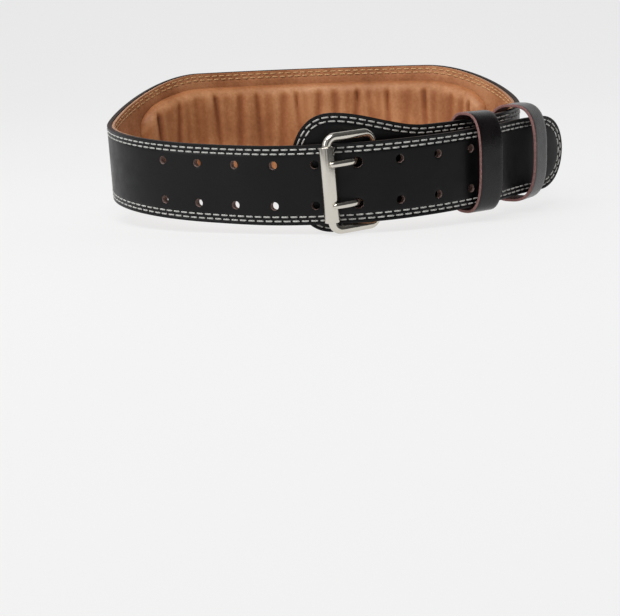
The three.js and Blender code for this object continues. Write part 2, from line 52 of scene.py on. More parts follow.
# %% Sizes of the belt
mm = 0.001
gap = 0.3
loop_width, loop_depth = 149.6, 112
outer_thickness, lining_thickness, lining_inset = 3.2, 2, 0.5
back_height, back_length = 102, 190
buckle_side = {"height": 55.6, "taper": 132}
tongue_side = {"height": 53, "taper": 120, "past_last_hole": 82, "round": 27}
head = {"height": 79.4, "beyond_bar": 55, "round": 28, "roundness": 2.3, "taper": 66}
hole_count, hole_pitch, hole_rows_apart, holes_left = 10, 27.8, 27.2, 4
hole_radius, stretched_radius = 2.8, 3.6
heel_at, roller_at, inner_height = 38.7, 8.2, 55.6
wire, heel_wire, wire_corner, tilt_deg, lift = 2.9, 2.2, 6.5, 3.2, 0.4
roller = {"radius": 5.2, "wall": 1.1, "length": 50, "clearance": 1.2}
prong_thickness, prong_width, hole_from_bar = 2.4, 3.6, 12.6
tab = {"leather": 1.6, "height": 47, "length": 60, "closes_over": 24, "slot_back": 9, "slot": 6.0}
rivet = {"from_bar": 50, "apart": 24, "head": 4.2, "head_height": 1.1, "shank": 1.7, "shank_in_head": 0.2}
keeper = {"width": 21, "leather": 2.2, "inner_height": 64.8, "roundness": 2.9, "play": 0.8}
keepers = {
    "keeper_inner": {"at": 114, "half_depth": 14.5, "seat": 0.2, "tongue_share": 0.5},
    "keeper_outer": {"at": 164, "half_depth": 17.5, "seat": 0.6, "tongue_share": 0.2},
}
tongue_drop, tongue_rise, rise_from, fall_power = 0.36, 0.08, -40, 1.25
lean_slope, lean_full_from, lean_none_below = 0.025, 0, -0.55
pad = {"length": 318, "inset": 12, "thickness": 8.5, "rim": 11, "end_taper": 0.4}
standoff_at_keepers = (0.7, 0.74, 3.0)
# The row's origin is under the middle of the belt's box, here measured from the loop's own centre.
origin_x, origin_y = 14.585, -12.004

outer_face = gap / 2 + outer_thickness
lining_face = gap / 2 + lining_thickness
fold_radius = heel_wire + gap + tab["leather"]
heel_standoff = outer_face + gap + lift + fold_radius
stack = heel_standoff + fold_radius + gap + lift + lining_face
over_head = outer_face + gap + lining_face
print("the tongue stands", round(stack, 1), "mm off the loop at the heel bar")

# %% [markdown]
# Worn, the belt follows one ellipse in plan, and its free end stands off from that ellipse to pass over
# the buckle end. The next cell gives a place on the ellipse for a distance run along it. Blender's curves
# could carry the leather too, but plain sums keep it exactly where the CAD model has it.

# %% The plan curve
def smooth(x):
    x = np.clip(x, 0, 1)
    return x * x * (3 - 2 * x)


turn = np.linspace(0, 2 * np.pi, 1441)
ellipse = np.stack([loop_width * np.sin(turn), -loop_depth * np.cos(turn)], 1)
run_of_turn = np.concatenate([[0], np.cumsum(np.hypot(*np.diff(ellipse, axis=0).T))])
lap = run_of_turn[-1]


def on_ellipse(run, out=0.0):
    """Points at these runs moved outwards, with the normals and the tangents there."""
    run = np.asarray(run, float)
    angle = np.interp(run % lap, run_of_turn, turn)
    tangent = np.stack([loop_width * np.cos(angle), loop_depth * np.sin(angle)], -1)
    tangent /= np.linalg.norm(tangent, axis=-1, keepdims=True)
    normal = np.stack([tangent[..., 1], -tangent[..., 0]], -1)
    point = np.stack([loop_width * np.sin(angle), -loop_depth * np.cos(angle)], -1)
    return point + normal * np.asarray(out, float)[..., None], normal, tangent


def through(rows, at):
    """A smooth curve through rows of (place, value), flat before the first."""
    places = [row[0] for row in rows]
    values = [row[1] for row in rows]
    last = len(rows) - 1
    if at <= places[0]:
        return values[0]

    def slope(i):
        if i <= 0:
            return 0
        ahead = min(last, i + 1)
        return (values[ahead] - values[i - 1]) / (places[ahead] - places[i - 1])

    i = min(last - 1, max(k for k in range(len(rows)) if places[k] <= at))
    span = places[i + 1] - places[i]
    t = (at - places[i]) / span
    if t > 1:
        return values[last] + slope(last) * (at - places[last])
    bend = slope(i) * span * (t**3 - 2 * t**2 + t) + slope(i + 1) * span * (t**3 - t**2)
    return values[i] * (2 * t**3 - 3 * t**2 + 1) + values[i + 1] * (3 * t**2 - 2 * t**3) + bend


head_end = heel_at - head["beyond_bar"]
tongue_past = holes_left * hole_pitch + tongue_side["past_last_hole"] + heel_at - hole_from_bar
inner_at, outer_at = (keepers[name]["at"] for name in ("keeper_inner", "keeper_outer"))
standoff_rows = [
    # run along the ellipse: mm; standoff there: mm
    (head_end - 58, 0),
    (head_end - 4, over_head + 0.5),
    (roller_at, 0.72 * stack),
    (heel_at, stack),
    ((heel_at + inner_at) / 2, 0.9 * stack),
    (inner_at, standoff_at_keepers[0] * stack),
    (outer_at, standoff_at_keepers[1] * stack),
    (tongue_past - 6, standoff_at_keepers[2] * stack),
]


def standoff(run):
    return np.array([through(standoff_rows, r - lap) for r in np.atleast_1d(run)]).reshape(np.shape(run))


print("once round the ellipse is", round(lap), "mm")

# %% [markdown]
# The belt's own length is measured along the leather, from the buckle end to the tongue's tip. The
# pattern gives its height at each length: wide at the small of the back, tapered to two straps.

# %% The belt's length and its pattern
runs = np.arange(head_end, lap + tongue_past + 40, 1.0)
walk = on_ellipse(runs, standoff(runs))[0]
lengths = np.concatenate([[0], np.cumsum(np.hypot(*np.diff(walk, axis=0).T))])


def length_at(run):
    return np.interp(run, runs, lengths)


def run_at(length):
    return np.interp(length, lengths, runs)


fastened_hole = float(length_at(lap + heel_at - hole_from_bar))
last_hole = fastened_hole + holes_left * hole_pitch
belt_length = last_hole + tongue_side["past_last_hole"]
back_centre = float(length_at(lap / 2))
back_edge_y = float(on_ellipse(lap / 2 + back_length / 2)[0][1])


def half_height(length):
    length = np.asarray(length, float)
    from_back = length - back_centre
    height = np.where(from_back < 0, buckle_side["height"], tongue_side["height"])
    taper = np.where(from_back < 0, buckle_side["taper"], tongue_side["taper"])
    half = (back_height + (height - back_height) * smooth((np.abs(from_back) - back_length / 2) / taper)) / 2
    widened = smooth((length - head["round"]) / head["taper"])
    on_head = (head["height"] + (buckle_side["height"] - head["height"]) * widened) / 2
    half = np.where(length < head["round"] + head["taper"], on_head, half)
    inward = np.clip(1 - length / head["round"], 0, 1)
    half = half * np.clip(1 - inward ** head["roundness"], 0, 1) ** (1 / head["roundness"])
    to_tip = np.clip((belt_length - length) / tongue_side["round"], 0, 1)
    return half * np.sqrt(np.clip(1 - (1 - to_tip) ** 2, 0, 1))


def middle_height(length):
    length = np.asarray(length, float)
    run = run_at(length)
    forward = (back_edge_y - on_ellipse(run)[0][..., 1]) / (back_edge_y + loop_depth)
    fallen = np.clip(forward, 0, 1) ** fall_power
    top = back_height / 2
    first = top + (head["height"] / 2 - top) * fallen
    past = (run - lap - rise_from) / (tongue_past - rise_from)
    dropped = tongue_drop * top * np.where(run > lap, 1, fallen)
    second = top - dropped + tongue_rise * back_height * smooth(past)
    return np.where(length < back_centre, first, second)


print("the leather is", round(belt_length), "mm long")

# %% [markdown]
# One function bends flat leather to its worn place. It looks up, for each point's length, where the
# middle line runs, which way is outwards and how much the belt leans there. To see which way the line
# runs, it looks half a millimetre ahead and behind.

# %% From flat to worn
table_size, look = 4000, 0.5
table_lengths = np.linspace(0, lengths[-1], table_size)
table_runs = run_at(table_lengths)
middle_line = on_ellipse(table_runs, standoff(table_runs))[0]
ahead = on_ellipse(table_runs + look, standoff(table_runs + look))[0]
behind = on_ellipse(table_runs - look, standoff(table_runs - look))[0]
along_line = (ahead - behind) / np.linalg.norm(ahead - behind, axis=1, keepdims=True)
middle_of_table = middle_height(table_lengths)
share_of_depth = middle_line[:, 1] / loop_depth
lean_of_table = lean_slope * smooth((share_of_depth - lean_none_below) / (lean_full_from - lean_none_below))


def worn(flat):
    """Flat points in metres, as (along, up, out), at their worn places in metres."""
    u, v, w = np.asarray(flat, float).T * 1000
    x, y = (np.interp(u, table_lengths, middle_line[:, k]) for k in (0, 1))
    tx, ty = (np.interp(u, table_lengths, along_line[:, k]) for k in (0, 1))
    size = np.hypot(tx, ty)
    out = w + np.interp(u, table_lengths, lean_of_table) * v
    z = np.interp(u, table_lengths, middle_of_table) + v
    place = np.stack([x + out * ty / size - origin_x, y - out * tx / size - origin_y, z], 1)
    return place / 1000


def outline(inset, step=0.7):
    """The flat pattern's edge, as closed points in millimetres, moved inwards by inset."""
    end_points = 60
    ends = head["round"] * (1 - np.cos(np.linspace(0, np.pi / 2, end_points)))
    tips = belt_length - tongue_side["round"] * (1 - np.cos(np.linspace(np.pi / 2, 0, end_points)))
    body = np.arange(head["round"], belt_length - tongue_side["round"], step)
    u = np.concatenate([ends, body[1:], tips])
    half = half_height(u)
    edge = np.concatenate([np.stack([u, half], 1), np.stack([u, -half], 1)[::-1][1:-1]])
    way = np.roll(edge, -1, 0) - np.roll(edge, 1, 0)
    way /= np.maximum(np.linalg.norm(way, axis=1, keepdims=True), 1e-9)
    return edge + np.stack([way[:, 1], -way[:, 0]], 1) * inset


edge_line = outline(0)


def from_edge(points):
    """How far inside the pattern's edge flat points in millimetres lie."""
    at_once = 4000
    result = np.empty(len(points))
    for i in range(0, len(points), at_once):
        part = points[i : i + at_once, None, :2] - edge_line[None]
        result[i : i + at_once] = np.sqrt((part**2).sum(-1)).min(1)
    return result


print("the pattern's edge is", round(np.hypot(*np.diff(edge_line, axis=0).T).sum()), "mm round")

# %% [markdown]
# Materials come next. A belt of this kind has few: drum-dyed black leather outside, tan lining leather
# inside, nickel-plated steel and polyester thread. One function turns the eye's hex colours into the
# linear ones that the shaders use, one adds a node, and one feeds a node its values and links. A colour
# ramp starts with two stops, so its first and last are listed before the inner ones.

# %% Helpers for materials
def linear(hex_colour):
    parts = [int(hex_colour[i : i + 2], 16) / 255 for i in (1, 3, 5)]
    return tuple(p / 12.92 if p <= 0.04045 else ((p + 0.055) / 1.055) ** 2.4 for p in parts) + (1,)


def feed(tree, node, **inputs):
    """Gives a node its inputs. Each is a value, or another node's output to link; i6 is input number 6."""
    for key, value in inputs.items():
        numbered = key[0] == "i" and key[1:].isdigit()
        socket = node.inputs[int(key[1:]) if numbered else key.replace("_", " ")]
        if isinstance(value, bpy.types.NodeSocket):
            tree.links.new(value, socket)
        else:
            socket.default_value = value


def add(tree, kind, settings=None, stops=(), **inputs):
    """Adds a node with its settings, the stops of its colour ramp if it has one, and its inputs."""
    node = tree.nodes.new(kind)
    for key, value in (settings or {}).items():
        setattr(node, key, value)
    for i, (place, hex_colour) in enumerate(stops):
        stop = node.color_ramp.elements[i] if i < 2 else node.color_ramp.elements.new(place)
        stop.position, stop.color = place, linear(hex_colour)
    feed(tree, node, **inputs)
    return node


def new_material(name, **fixed):
    """A material with its shader's own sockets set, its node tree and the place to read patterns from."""
    material = bpy.data.materials.new(name)
    material.use_nodes = True
    tree = material.node_tree
    shader = tree.nodes["Principled BSDF"]
    feed(tree, shader, **fixed)
    return material, tree, shader, add(tree, "ShaderNodeTexCoord").outputs["Object"]


# %% [markdown]
# Drum-dyed, finished cowhide: almost black, with a fine pebble of about a millimetre, a film of finish
# that gives broad soft highlights, and faint cloudiness where the finish is thicker. Its IOR is that of
# the acrylic finish, about 1.5. A noise texture's scale counts features per metre, so 1000 / 28 gives
# clouds 28 mm across.

# %% Black leather
def finished_leather(name, dark, light, rough, gloss, grain_mm=1.1):
    material, tree, shader, place = new_material(name, IOR=1.48, Specular_IOR_Level=gloss)
    cloud = add(tree, "ShaderNodeTexNoise", Vector=place, Scale=1000 / 28, Detail=4).outputs[0]
    colour = add(tree, "ShaderNodeValToRGB", stops=[(0.3, dark), (0.75, light)], Fac=cloud).outputs[0]
    spread = add(tree, "ShaderNodeTexNoise", Vector=place, Scale=1000 / 9, Detail=5).outputs[0]
    duller = add(
        tree, "ShaderNodeMapRange", Value=spread, From_Min=0.25, From_Max=0.8,
        To_Min=rough - 0.07, To_Max=rough + 0.08,
    ).outputs[0]
    between = add(
        tree, "ShaderNodeTexVoronoi", {"feature": "DISTANCE_TO_EDGE"}, Vector=place, Scale=1000 / grain_mm,
    ).outputs["Distance"]
    pebble = add(tree, "ShaderNodeMapRange", Value=between, From_Max=0.22).outputs[0]
    grain = add(tree, "ShaderNodeBump", Strength=0.35, Distance=0.00005, Height=pebble).outputs[0]
    waves = add(tree, "ShaderNodeTexNoise", Vector=place, Scale=1000 / 14).outputs[0]
    normal = add(
        tree, "ShaderNodeBump", Strength=0.5, Distance=0.00025, Height=waves, Normal=grain,
    ).outputs[0]
    feed(tree, shader, Base_Color=colour, Roughness=duller, Normal=normal)
    return material


black_leather = finished_leather("finished_black_cowhide", "#060607", "#0b0b0c", 0.38, 0.24)
keeper_leather = finished_leather("finished_black_keeper_cowhide", "#0c090a", "#151112", 0.28, 0.32, 1.3)
print("black leathers:", black_leather.name, keeper_leather.name)

# %% [markdown]
# The lining is split leather with a soft tan finish. Handling leaves it mottled, with fine creases.
# The pad's cover is the same leather over foam, and an attribute that the pad's mesh carries paints shade
# into its gathers and paints highlights on the folds beside them and along a roll inside its rim.

# %% Tan leather
def lining_leather(name, deep, middle, pale, rough, folded=False):
    material, tree, shader, place = new_material(name, IOR=1.45, Specular_IOR_Level=0.35)
    cloud = add(tree, "ShaderNodeTexNoise", Vector=place, Scale=1000 / 34, Detail=5, Roughness=0.6).outputs[0]
    fine = add(tree, "ShaderNodeTexNoise", Vector=place, Scale=1000 / 2.2, Detail=3).outputs[0]
    mixed = add(tree, "ShaderNodeMath", {"operation": "MULTIPLY_ADD"}, i0=fine, i1=0.35, i2=cloud).outputs[0]
    tones = [(0.42, deep), (0.82, pale), (0.64, middle)]
    colour = add(tree, "ShaderNodeValToRGB", stops=tones, Fac=mixed).outputs[0]
    # The pad's cover is darkened by painted shade in its gathers and lightened by painted highlights beside
    # them, from an attribute of its mesh.
    if folded:
        painted_fold_shade = add(tree, "ShaderNodeAttribute", {"attribute_name": "painted_fold_shade"}).outputs["Fac"]
        shades = [(0.0, "#70482c"), (1.0, "#ffffff"), (0.45, "#c7a488"), (0.7, "#e2cfbd")]
        shade = add(tree, "ShaderNodeValToRGB", stops=shades, Fac=painted_fold_shade).outputs[0]
        multiply = {"data_type": "RGBA", "blend_type": "MULTIPLY"}
        colour = add(tree, "ShaderNodeMix", multiply, i0=0.85, i6=colour, i7=shade).outputs[2]
    duller = add(
        tree, "ShaderNodeMapRange", Value=cloud, From_Min=0.3, From_Max=0.75,
        To_Min=rough + 0.1, To_Max=rough - 0.06,
    ).outputs[0]
    stretched = add(tree, "ShaderNodeMapping", Vector=place, Scale=(1.0, 1.0, 0.28)).outputs[0]
    wrinkle = add(tree, "ShaderNodeTexNoise", Vector=stretched, Scale=1000 / 5, Detail=4).outputs[0]
    creased = add(tree, "ShaderNodeBump", Strength=0.5, Distance=0.0003, Height=wrinkle).outputs[0]
    between = add(
        tree, "ShaderNodeTexVoronoi", {"feature": "DISTANCE_TO_EDGE"}, Vector=place, Scale=1000 / 0.9,
    ).outputs["Distance"]
    grain = add(tree, "ShaderNodeMapRange", Value=between, From_Max=0.25).outputs[0]
    normal = add(
        tree, "ShaderNodeBump", Strength=0.4, Distance=0.000035, Height=grain, Normal=creased,
    ).outputs[0]
    feed(tree, shader, Base_Color=colour, Roughness=duller, Normal=normal)
    return material


tan_leather = lining_leather("tan_split_lining", "#875331", "#a56c46", "#b8815a", 0.58)
pad_leather = lining_leather("tan_pad_cover", "#99643f", "#b0784f", "#c48d63", 0.5, folded=True)
print("tan leathers:", tan_leather.name, pad_leather.name)

# %% [markdown]
# Where leather is cut, its core shows. The outer's edge is stained dark brown and the lining's is left
# tan. The keepers are cut from leather dyed through to a dusky red, rough on its flesh side.

# %% Cut edges and flesh sides
def raw_leather(name, deep, pale, fibre_mm):
    material, tree, shader, place = new_material(name, IOR=1.45, Roughness=0.8)
    fibres = add(
        tree, "ShaderNodeTexNoise", Vector=place, Scale=1000 / fibre_mm, Detail=5, Roughness=0.65,
    ).outputs[0]
    colour = add(tree, "ShaderNodeValToRGB", stops=[(0.3, deep), (0.75, pale)], Fac=fibres).outputs[0]
    normal = add(tree, "ShaderNodeBump", Strength=0.7, Distance=0.0002, Height=fibres).outputs[0]
    feed(tree, shader, Base_Color=colour, Normal=normal)
    return material


keeper_edge = raw_leather("cut_edge_of_red_cored_cowhide", "#6b4542", "#9c7672", 1.2)
keeper_flesh = raw_leather("flesh_side_of_red_cored_cowhide", "#2a1517", "#4a282a", 1.8)
stained_edge = raw_leather("stained_edge_of_black_cowhide", "#1b1614", "#3d302b", 1.0)
tan_edge = raw_leather("cut_edge_of_tan_split", "#946a52", "#bd967a", 1.0)
hole_wall = raw_leather("punched_wall_of_cowhide", "#5a4541", "#a08880", 0.8)

# %% [markdown]
# The buckle is bent from steel wire, soldered and nickel plated. Nickel is a warm grey metal; the plating
# is polished, with faint wipe marks, so roughness varies a little. Thread is bonded polyester, twisted
# from three plies, with a dull sheen.

# %% Nickel plate and thread
def nickel_plate(name, rough):
    material, tree, shader, place = new_material(name, Metallic=1.0, Base_Color=linear("#d6d1c7"))
    wipe = add(tree, "ShaderNodeMapping", Vector=place, Scale=(1.0, 1.0, 0.2)).outputs[0]
    marks = add(tree, "ShaderNodeTexNoise", Vector=wipe, Scale=1000 / 3, Detail=4).outputs[0]
    duller = add(
        tree, "ShaderNodeMapRange", Value=marks, From_Min=0.3, From_Max=0.8,
        To_Min=rough, To_Max=rough + 0.12,
    ).outputs[0]
    waves = add(tree, "ShaderNodeTexNoise", Vector=place, Scale=1000 / 5).outputs[0]
    normal = add(tree, "ShaderNodeBump", Strength=0.4, Distance=0.00003, Height=waves).outputs[0]
    feed(tree, shader, Roughness=duller, Normal=normal)
    return material


def thread_material(name, deep, pale):
    material, tree, shader, place = new_material(
        name, IOR=1.5, Roughness=0.55, Sheen_Weight=0.3, Sheen_Roughness=0.4,
    )
    plies = add(tree, "ShaderNodeTexNoise", Vector=place, Scale=1000 / 0.8).outputs[0]
    colour = add(tree, "ShaderNodeValToRGB", stops=[(0.3, deep), (0.7, pale)], Fac=plies).outputs[0]
    normal = add(tree, "ShaderNodeBump", Strength=0.6, Distance=0.0001, Height=plies).outputs[0]
    feed(tree, shader, Base_Color=colour, Normal=normal)
    return material


nickel = nickel_plate("polished_nickel_plate", 0.12)
white_thread = thread_material("bonded_polyester_thread_white", "#8c8b86", "#cfceca")
gold_thread = thread_material("bonded_polyester_thread_gold", "#a9794a", "#d6ac78")
print("metal and thread:", nickel.name, white_thread.name, gold_thread.name)

# %% [markdown]
# Operators act on whatever is selected, so each piece starts from nothing selected. These helpers select
# in code, apply a modifier, and hand a mesh's points to numpy and back. Points closer than weld are
# merged, or fine_weld where the mesh is fine; both are in metres.

# %% Helpers for modelling
weld, fine_weld = 0.00001, 0.0000001


def clear_selection():
    if bpy.context.object and bpy.context.object.mode != "OBJECT":
        bpy.ops.object.mode_set(mode="OBJECT")
    bpy.ops.object.select_all(action="DESELECT")


def only(obj):
    clear_selection()
    obj.select_set(True)
    bpy.context.view_layer.objects.active = obj


def named(name):
    obj = bpy.context.object
    obj.name = name
    obj.data.name = name
    return obj


def get_points(obj):
    points = np.empty(len(obj.data.vertices) * 3)
    obj.data.vertices.foreach_get("co", points)
    return points.reshape(-1, 3)


def set_points(obj, points):
    obj.data.vertices.foreach_set("co", np.asarray(points, float).ravel())
    obj.data.update()


def modify(obj, kind, **settings):
    only(obj)
    modifier = obj.modifiers.new(kind.lower(), kind)
    for key, value in settings.items():
        setattr(modifier, key, value)
    bpy.ops.object.modifier_apply(modifier=modifier.name)


def bevel(obj, width, segments):
    """Rounds off every edge sharper than 50 degrees, by a width in metres."""
    modify(
        obj, "BEVEL", width=width, segments=segments, limit_method="ANGLE", angle_limit=math.radians(50),
    )


def in_edit_mode(obj):
    only(obj)
    bpy.ops.object.mode_set(mode="EDIT")
    bpy.ops.mesh.select_all(action="SELECT")


def tidy_normals(obj, merge=weld):
    in_edit_mode(obj)
    bpy.ops.mesh.remove_doubles(threshold=merge)
    bpy.ops.mesh.normals_make_consistent(inside=False)
    bpy.ops.object.mode_set(mode="OBJECT")


def smooth_shaded(obj, degrees=40):
    only(obj)
    bpy.ops.object.shade_smooth_by_angle(angle=math.radians(degrees))


def finish_piece(obj, body_nodes, material=None):
    """Puts a piece on the part's root in the CAD nodes' place, with one material or those it has."""
    if material is not None:
        obj.data.materials.clear()
        obj.data.materials.append(material)
    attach(obj, "root")
    if body_nodes:
        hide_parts(*body_nodes)
    print(obj.name, "has", len(obj.data.polygons), "faces")


def grid_piece(name, columns, rows, place):
    """A grid whose point (i, j) is put at place[i, j], as if each were pulled there by hand."""
    clear_selection()
    bpy.ops.mesh.primitive_grid_add(x_subdivisions=columns - 1, y_subdivisions=rows - 1, size=2)
    obj = named(name)
    points = get_points(obj)
    i = np.rint((points[:, 0] + 1) / 2 * (columns - 1)).astype(int)
    j = np.rint((points[:, 1] + 1) / 2 * (rows - 1)).astype(int)
    set_points(obj, place[i, j])
    return obj


def keep_flat_map(obj):
    """Keeps where each point lay when the leather was flat, as a UV map in metres."""
    points = get_points(obj)
    layer = obj.data.uv_layers.new(name="flat") if not obj.data.uv_layers else obj.data.uv_layers[0]
    corner = np.empty(len(obj.data.loops), int)
    obj.data.loops.foreach_get("vertex_index", corner)
    layer.data.foreach_set("uv", points[corner, :2].ravel())


# %% [markdown]
# The holes are punched in pairs at one pitch. The punch is a set of cylinders joined into one mesh, so that
# one boolean cut makes all ten pairs. The pair that the belt is fastened by is stretched wider.

# %% Punch for the holes
hole_places = [(last_hole - i * hole_pitch, i == holes_left) for i in range(hole_count)]


def punch():
    clear_selection()
    tools = []
    for length, stretched in hole_places:
        for side in (-1, 1):
            radius = (stretched_radius if stretched else hole_radius) / 1000
            where = (length / 1000, side * hole_rows_apart / 2000, 0)
            bpy.ops.mesh.primitive_cylinder_add(vertices=24, radius=radius, depth=0.03, location=where)
            tools.append(bpy.context.object)
    for tool in tools:
        tool.select_set(True)
    bpy.ops.object.join()
    tool = named("punch")
    only(tool)
    bpy.ops.object.transform_apply(location=True, rotation=True, scale=True)
    return tool


# %% [markdown]
# Both leathers are cut from one pattern. The flat sheet is a grid with close rows along its edges, so that
# two shallow furrows can be pressed into it where the thread will pull the leather down. It is extruded
# to its thickness and punched by a boolean cut; a hand-cut ring of faces would look no different. A small
# bevel breaks its edges. Last, the whole sheet is bent to its worn place. Rows and furrows are given in
# millimetres from the edge, and the rows close up where the belt is narrow.

# %% Outer leather and lining
stitch_rows = (2.7, 5.5)
furrow_width = 0.9
rim_rows = np.array([0, 0.8, 1.6, 2.15, 2.7, 3.25, 3.9, 4.9, 5.5, 6.1, 6.8, 7.8, 9.5])
narrow_half, core_rows = 14, 9
first_turn, end_columns, body_columns = 0.02, 26, 380
wall_tilt, rim_depth = 0.55, 1.2


def furrows(depth_in):
    return sum(np.exp(-(((depth_in - row) / furrow_width) ** 2)) for row in stitch_rows)


def cut_leather(name, low, high, inset, furrowed_side, furrow_depth):
    ends = head["round"] * (1 - np.cos(np.linspace(first_turn, np.pi / 2, end_columns)))
    tips = belt_length - tongue_side["round"] * (1 - np.cos(np.linspace(np.pi / 2, first_turn, end_columns)))
    body = np.linspace(head["round"], belt_length - tongue_side["round"], body_columns)
    u = np.clip(np.concatenate([ends, body[1:-1], tips]), inset, belt_length - inset)
    half = np.maximum(half_height(u) - inset, 1)
    shrink = np.minimum(1, half / narrow_half)[:, None]
    upper = half[:, None] - rim_rows * shrink
    core = np.linspace(-1, 1, core_rows)[1:-1] * upper[:, -1:]
    v = np.concatenate([-upper, core, upper[:, ::-1]], 1)
    place = np.stack([np.repeat(u[:, None], v.shape[1], 1), v, np.full(v.shape, low)], -1) / 1000
    obj = grid_piece(name, len(u), v.shape[1], place)
    in_edit_mode(obj)
    thickness = (high - low) / 1000
    bpy.ops.mesh.extrude_region_move(TRANSFORM_OT_translate={"value": (0, 0, thickness)})
    bpy.ops.object.mode_set(mode="OBJECT")
    tidy_normals(obj)
    tool = punch()
    obj.data.materials.append(black_leather if furrowed_side > 0 else tan_leather)
    modify(obj, "BOOLEAN", operation="DIFFERENCE", object=tool, solver="EXACT")
    bpy.data.objects.remove(tool)
    bevel(obj, 0.00045, 2)
    flat = get_points(obj) * 1000
    share = (flat[:, 2] - low) / (high - low)
    share = share if furrowed_side > 0 else 1 - share
    sunk = furrow_depth * furrows(from_edge(flat) - inset) * share
    flat[:, 2] -= furrowed_side * sunk
    set_points(obj, flat / 1000)
    return obj


def edge_faces(obj, low, high, edge_material, wall_material):
    """Gives cut edges and punched walls their own materials, by how far each face is from the rim."""
    obj.data.materials.append(edge_material)
    obj.data.materials.append(wall_material)
    rims = []
    for face in obj.data.polygons:
        if abs(face.normal.z) < wall_tilt:
            rims.append(face)
    depth = from_edge(np.array([tuple(face.center) for face in rims]) * 1000)
    for face, inside in zip(rims, depth):
        face.material_index = 1 if inside < rim_depth else 2


outer = cut_leather("outer_leather_dressed", gap / 2, outer_face, 0, 1, 0.4)
edge_faces(outer, gap / 2, outer_face, stained_edge, hole_wall)
lining = cut_leather("lining_dressed", -lining_face, -gap / 2, lining_inset, -1, 0.3)
edge_faces(lining, -lining_face, -gap / 2, tan_edge, hole_wall)
for piece, node, slot_name in ((outer, "outer_leather", "black_leather"), (lining, "lining", "tan_leather")):
    keep_flat_map(piece)
    set_points(piece, worn(get_points(piece)))
    smooth_shaded(piece)
    finish_piece(piece, [node])

# %% [markdown]
# The pad is foam under soft leather, sewn down round its rim, so it swells like a pillow and the leather
# gathers in soft creases where the back bends. Cloth simulation can make such a form; here it is raised
# from a grid by plain sums, which keep the creases across the belt, where bending puts them.

# %% Lumbar pad
crease_rows = [
    # at: share of the half length; depth: share; width: mm; slant: mm over the half height;
    # rim: how much deeper it is towards the rims
    {"at": -0.93, "depth": 1.0, "width": 2.6, "slant": 2, "rim": 1.0},
    {"at": -0.78, "depth": 0.4, "width": 4.5, "slant": -3, "rim": 1.0},
    {"at": -0.64, "depth": 0.8, "width": 3.2, "slant": 3, "rim": 1.0},
    {"at": -0.53, "depth": 0.5, "width": 3.8, "slant": -2, "rim": 0.8},
    {"at": -0.42, "depth": 0.8, "width": 2.9, "slant": 2, "rim": 1.0},
    {"at": -0.33, "depth": 0.6, "width": 3.2, "slant": 4, "rim": 0.9},
    {"at": -0.23, "depth": 0.9, "width": 3.2, "slant": -3, "rim": 1.0},
    {"at": -0.13, "depth": 0.5, "width": 4.2, "slant": 2, "rim": 0.7},
    {"at": -0.03, "depth": 0.7, "width": 3.2, "slant": -2, "rim": 1.0},
    {"at": 0.07, "depth": 0.8, "width": 2.9, "slant": 3, "rim": 1.0},
    {"at": 0.17, "depth": 0.4, "width": 4.5, "slant": -4, "rim": 0.8},
    {"at": 0.29, "depth": 0.7, "width": 3.2, "slant": 2, "rim": 1.0},
    {"at": 0.40, "depth": 0.5, "width": 4.2, "slant": -2, "rim": 0.8},
    {"at": 0.52, "depth": 0.8, "width": 3.2, "slant": 3, "rim": 1.0},
    {"at": 0.64, "depth": 0.4, "width": 5.1, "slant": 2, "rim": 0.8},
    {"at": 0.77, "depth": 0.7, "width": 3.8, "slant": -3, "rim": 1.0},
    {"at": 0.90, "depth": 1.0, "width": 3.8, "slant": 2, "rim": 1.0},
]
crease_share, ripple_share, ripple_shade = 0.42, 0.05, 0.16
crease_clear, crease_grows = 2.5, 7
# How far in from the rim, and how wide, in mm, the painted highlight along the pad's rolled rim lies.
highlight_roll_in, highlight_roll_width = 4.5, 2.6
pad_half_length = pad["length"] / 2


def pad_half(along):
    close = np.clip((pad_half_length - np.abs(along)) / (2 * pad["rim"]), 0, 1)
    corner = np.sqrt(np.clip(1 - (1 - close) ** 2, 0, 1))
    return (half_height(back_centre + along) - pad["inset"]) * (1 - pad["end_taper"] * (1 - corner))


# Gives the pad's swelling in mm, and its painted light: painted shade in the creases, painted highlights on
# the raised folds beside them, along a roll inside the rim and on the fine ripples.
def pad_swell(along, up, half):
    def swell(distance):
        return np.sqrt(np.clip(1 - (1 - np.clip(distance / pad["rim"], 0, 1)) ** 2, 0, 1))

    to_rim = half - np.abs(up)
    depth = swell(pad_half_length - np.abs(along)) * swell(to_rim)
    inside_rim = smooth((to_rim - crease_clear) / crease_grows)
    # A painted highlight along a roll inside the rim.
    shade_and_highlight = 0.7 + 0.35 * np.exp(-(((to_rim - highlight_roll_in) / highlight_roll_width) ** 2))
    for row in crease_rows:
        away = along - row["at"] * pad_half_length - row["slant"] * up / half
        strength = row["depth"] * (0.5 + 0.5 * np.abs(up / half) ** 1.5 * row["rim"]) * inside_rim
        pinch = strength * np.exp(-((away / (0.6 * row["width"])) ** 2))
        depth = depth * (1 - crease_share * pinch)
        beside = np.exp(-(((np.abs(away) - 1.5 * row["width"]) / 1.8) ** 2))
        # Painted shade in the crease and painted highlights on either side of it.
        shade_and_highlight = shade_and_highlight - 0.75 * pinch + 0.3 * strength * beside
    fine_wave = np.sin(along / 2.1 + 2 * np.sin(along / 17) + 0.5 * up / half)
    ripple = fine_wave * np.sin(along / 9.1 + 1) * inside_rim
    depth = depth * (1 + ripple_share * ripple * np.clip(np.abs(up / half), 0.3, 1))
    return depth, shade_and_highlight + ripple_shade * ripple


